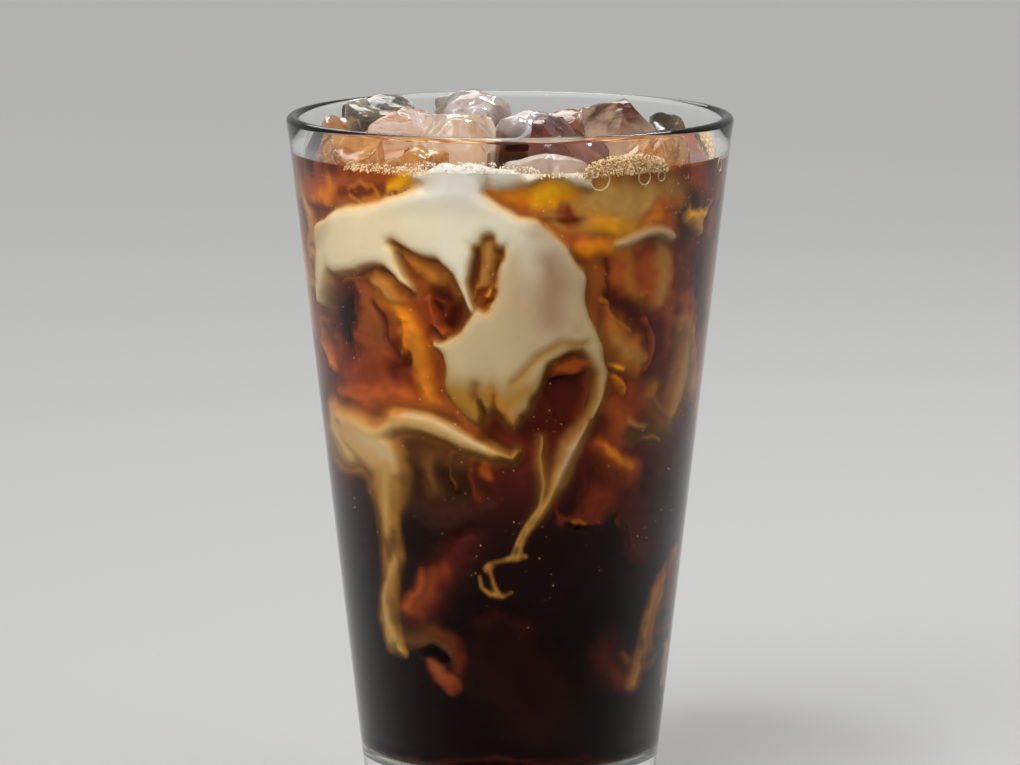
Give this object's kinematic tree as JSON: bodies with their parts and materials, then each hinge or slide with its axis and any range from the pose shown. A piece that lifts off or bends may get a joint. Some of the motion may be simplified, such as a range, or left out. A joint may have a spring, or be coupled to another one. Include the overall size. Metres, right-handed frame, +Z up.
{
  "type": "glass of cold brew coffee",
  "caption": "Iced cold brew coffee with cream in a tall conical glass with a thick clear base; ice lumps stand above the drink.",
  "frame": {"origin": "centre of the glass's underside, on the plane it stands on", "axes": "+Z up along the glass's axis; -Y is the front shown in the picture; +X is to the right of the front view"},
  "size_m": [0.09, 0.09, 0.1479],
  "materials": {
    "clear_glass": "clear, polished",
    "coffee": "still liquid with cream clouds",
    "ice": "wet, clear to milky"
  },
  "bodies": {
    "root": {"glass": "clear_glass", "coffee": "coffee", "ice_back_left": "ice", "ice_left_streaked": "ice", "ice_left_small": "ice", "ice_centre_large": "ice", "ice_centre_back": "ice", "ice_front_cream": "ice", "ice_centre_milky": "ice", "ice_front_wedge": "ice", "ice_front_dome": "ice", "ice_back_flat": "ice", "ice_right_large": "ice", "ice_right_small": "ice", "ice_left_wall": "ice", "ice_left_front": "ice", "ice_right_wall": "ice", "ice_back_right": "ice"}
  },
  "joints": []
}
